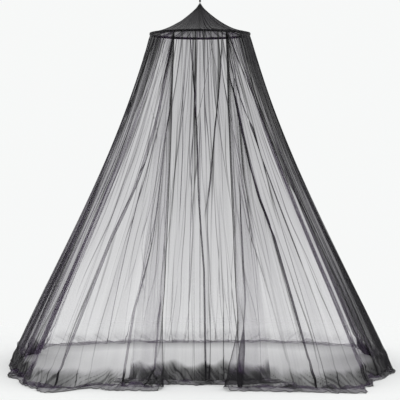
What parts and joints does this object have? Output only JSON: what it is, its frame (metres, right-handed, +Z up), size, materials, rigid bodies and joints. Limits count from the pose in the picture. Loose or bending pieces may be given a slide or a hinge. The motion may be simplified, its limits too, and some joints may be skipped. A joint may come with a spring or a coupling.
{
  "type": "bed mosquito net",
  "caption": "Black netting canopy for a bed: a gathered roof on a hoop, curtains with folding entrance flaps, hung from a ceiling hook by a cord.",
  "frame": {"origin": "middle of the face of the adhesive pad that goes against the ceiling", "axes": "+Z up through the ceiling face, the entrance looks along -Y, +X to the right seen from the front"},
  "size_m": [2.5815, 2.8928, 2.5138],
  "materials": {
    "netting": "sheer black polyester netting",
    "roof_netting": "gathered black polyester netting",
    "tape": "woven black binding tape",
    "cord": "braided black polyester cord",
    "ring_steel": "black coated steel wire",
    "hoop_rod": "pultruded glass fibre",
    "ferrule_steel": "plain steel tube",
    "hook_steel": "polished steel wire",
    "plate_plastic": "off-white moulding",
    "pad_foam": "adhesive foam"
  },
  "bodies": {
    "ceiling_mount": {"adhesive_pad": "pad_foam", "ceiling_plate": "plate_plastic", "ceiling_hook": "hook_steel"},
    "cord_loop": {"hanging_cord": "cord"},
    "knot": {"cord_knot": "cord", "cord_eye": "cord"},
    "canopy": {"apex_ring": "ring_steel", "apex_collar": "tape", "left_roof": "roof_netting", "right_roof": "roof_netting", "front_roof_seam": "tape", "back_roof_seam": "tape", "hoop_rod_left": "hoop_rod", "hoop_rod_right": "hoop_rod", "hoop_ferrule_front": "ferrule_steel", "hoop_ferrule_back": "ferrule_steel", "hoop_casing": "tape", "left_curtain": "netting", "right_curtain": "netting", "left_back_panel": "netting", "right_back_panel": "netting", "front_panel": "netting", "left_curtain_hem": "tape", "right_curtain_hem": "tape", "left_back_hem": "tape", "right_back_hem": "tape", "front_panel_hem": "tape", "left_seam": "tape", "right_seam": "tape", "back_seam": "tape"},
    "left_flap": {"left_flap": "netting", "left_flap_hem": "tape", "left_flap_edge": "tape"},
    "right_flap": {"right_flap": "netting", "right_flap_hem": "tape", "right_flap_edge": "tape"}
  },
  "joints": [
    {"name": "cord_swing", "type": "hinge", "parent": "ceiling_mount", "child": "cord_loop", "pos_m": [0, 0, -0.0323], "axis": [0, 1, 0], "range_deg": [-12, 12]},
    {"name": "cord_twist", "type": "hinge", "parent": "cord_loop", "child": "knot", "pos_m": [0, 0, -0.1308], "axis": [0, 0, 1], "range_deg": [-90, 90]},
    {"name": "canopy_tilt", "type": "hinge", "parent": "knot", "child": "canopy", "pos_m": [0, 0, -0.1498], "axis": [1, 0, 0], "range_deg": [-10, 10]},
    {"name": "left_flap_fold", "type": "hinge", "parent": "canopy", "child": "left_flap", "pos_m": [-0.17143, -0.27975, -0.364], "axis": [-0.3097, -0.3899, -0.8672], "range_deg": [0, 70]},
    {"name": "right_flap_fold", "type": "hinge", "parent": "canopy", "child": "right_flap", "pos_m": [0.17143, -0.27975, -0.364], "axis": [-0.308, 0.3875, 0.8689], "range_deg": [0, 70]}
  ]
}
